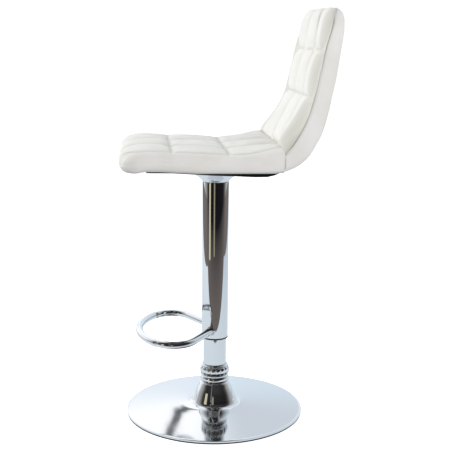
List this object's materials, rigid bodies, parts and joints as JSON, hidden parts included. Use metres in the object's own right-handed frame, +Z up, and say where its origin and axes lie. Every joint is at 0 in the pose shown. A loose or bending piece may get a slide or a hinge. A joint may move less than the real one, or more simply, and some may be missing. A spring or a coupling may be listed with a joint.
{
  "type": "adjustable swivel stool",
  "caption": "Bar stool with a quilted white padded seat and back on a chrome gas-lift column, a looped footrest, a fluted collar and a round trumpet base.",
  "frame": {"origin": "on the floor, at the centre of the round base, on the column's axis", "axes": "+Z up the column, the front of the seat towards -Y, the release lever towards -X (the sitter's right)"},
  "size_m": [0.3992, 0.4277, 0.8711],
  "materials": {
    "polished_chrome": "polished",
    "black_rubber": "matte",
    "black_nylon": "satin",
    "zinc_steel": "satin",
    "black_steel": "satin",
    "bearing_steel": "polished",
    "aluminium": "satin",
    "black_panel": "matte",
    "plywood": "matte",
    "white_leather": "satin"
  },
  "bodies": {
    "base": {"base_dish": "polished_chrome", "floor_ring": "black_rubber", "ballast_plate": "black_steel", "ballast_screws": "zinc_steel", "hub_cup": "black_steel", "base_bolt": "zinc_steel", "base_washer": "zinc_steel", "post_foot": "black_steel", "post": "polished_chrome", "collar_base_ring": "polished_chrome", "collar_screw": "zinc_steel", "collar_bead_ring": "polished_chrome", "collar_top_ring": "polished_chrome", "rod_seat": "black_steel", "lower_race": "bearing_steel", "post_guide": "black_nylon"},
    "bearing": {"bearing_cage": "black_nylon", "bearing_balls": "bearing_steel"},
    "rod": {"upper_race": "bearing_steel", "rod_washer": "zinc_steel", "piston_rod": "bearing_steel", "retaining_clip": "zinc_steel", "bump_stop": "black_rubber", "piston": "aluminium", "piston_seal": "black_rubber", "piston_nut": "zinc_steel"},
    "seat": {"gas_cylinder": "black_steel", "rod_guide": "black_nylon", "rod_seal": "black_rubber", "valve_body": "aluminium", "hub_socket": "black_steel", "tube_spacer": "black_steel", "outer_tube": "polished_chrome", "tube_bush": "black_nylon", "footrest_ring": "polished_chrome", "top_bell": "polished_chrome", "seat_plate": "black_steel", "lever_bracket": "black_steel", "lever_pin": "zinc_steel", "underside_panel": "black_panel", "panel_screws": "zinc_steel", "shell_board": "plywood", "t_nuts": "zinc_steel", "seat_bolts": "zinc_steel", "seat_washers": "zinc_steel", "seat_cushion": "white_leather", "back_cushion": "white_leather", "back_cover": "white_leather"},
    "lever": {"release_lever": "polished_chrome", "lever_grip": "black_nylon"},
    "valve": {"valve_button": "bearing_steel"}
  },
  "joints": [
    {"name": "seat_swivel", "type": "hinge", "parent": "base", "child": "rod", "pos_m": [0, 0, 0.0676], "axis": [0, 0, 1], "continuous": true},
    {"name": "bearing_roll", "type": "hinge", "parent": "base", "child": "bearing", "pos_m": [0, 0, 0.066], "axis": [0, 0, 1], "continuous": true},
    {"name": "height_slide", "type": "slide", "parent": "rod", "child": "seat", "axis": [0, 0, 1], "range_m": [0, 0.21]},
    {"name": "lever_lift", "type": "hinge", "parent": "seat", "child": "lever", "pos_m": [-0.025, 0, 0.5365], "axis": [0, 1, 0], "range_deg": [0, 5], "stiffness_Nm_per_rad": 3, "springref_deg": -5.73},
    {"name": "valve_press", "type": "slide", "parent": "seat", "child": "valve", "axis": [0, 0, -1], "range_m": [0, 0.0023]}
  ],
  "couplings": [
    {"joint": "bearing_roll", "follows": "seat_swivel", "ratio": 0.5},
    {"joint": "valve_press", "follows": "lever_lift", "m_per_rad": 0.025}
  ]
}
